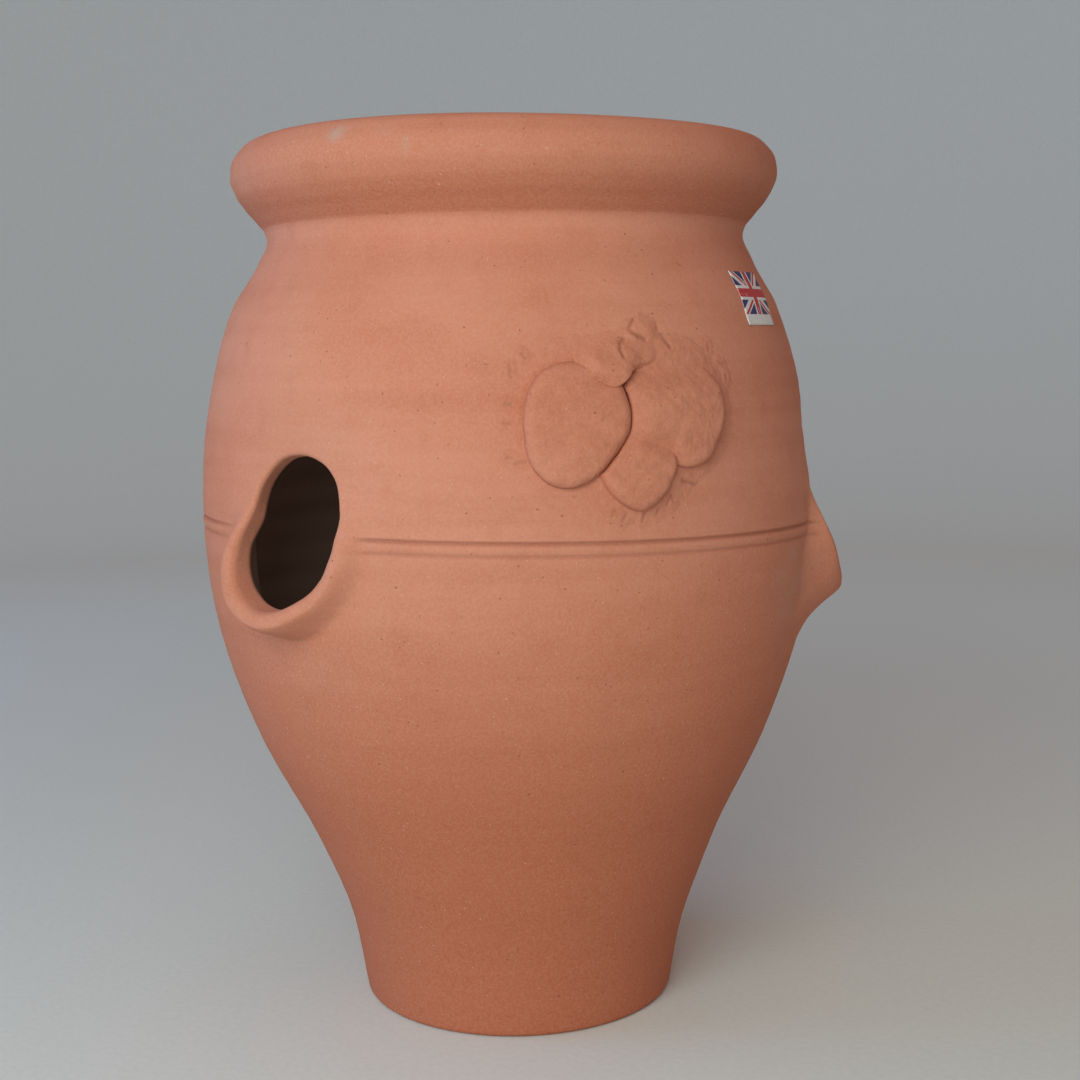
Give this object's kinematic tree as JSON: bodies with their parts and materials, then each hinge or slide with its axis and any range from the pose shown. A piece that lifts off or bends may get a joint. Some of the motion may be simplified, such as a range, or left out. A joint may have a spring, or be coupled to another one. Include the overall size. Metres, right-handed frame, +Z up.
{
  "type": "strawberry jar planter",
  "caption": "Thrown terracotta strawberry jar with a rolled rim, planting pockets in the belly and a sprig of strawberries in low relief.",
  "frame": {"origin": "centre of the foot on the ground, on the jar's axis, at the lower edge of the drainage hole", "axes": "+Z up along the jar's axis; -Y is the front as pictured, so +X is to its right"},
  "size_m": [0.2982, 0.2957, 0.4],
  "materials": {
    "terracotta": "unglazed, matte, thrown",
    "label_paper": "printed paper, semi-matte"
  },
  "bodies": {
    "root": {"lower_wall": "terracotta", "upper_wall": "terracotta", "rolled_rim": "terracotta", "pocket_left": "terracotta", "pocket_right": "terracotta", "pocket_back": "terracotta", "sprig_leaves": "terracotta", "berry_left": "terracotta", "berry_right": "terracotta", "berry_lower": "terracotta", "sprig_sepals": "terracotta", "sprig_stalk": "terracotta", "paper_label": "label_paper"}
  },
  "joints": []
}
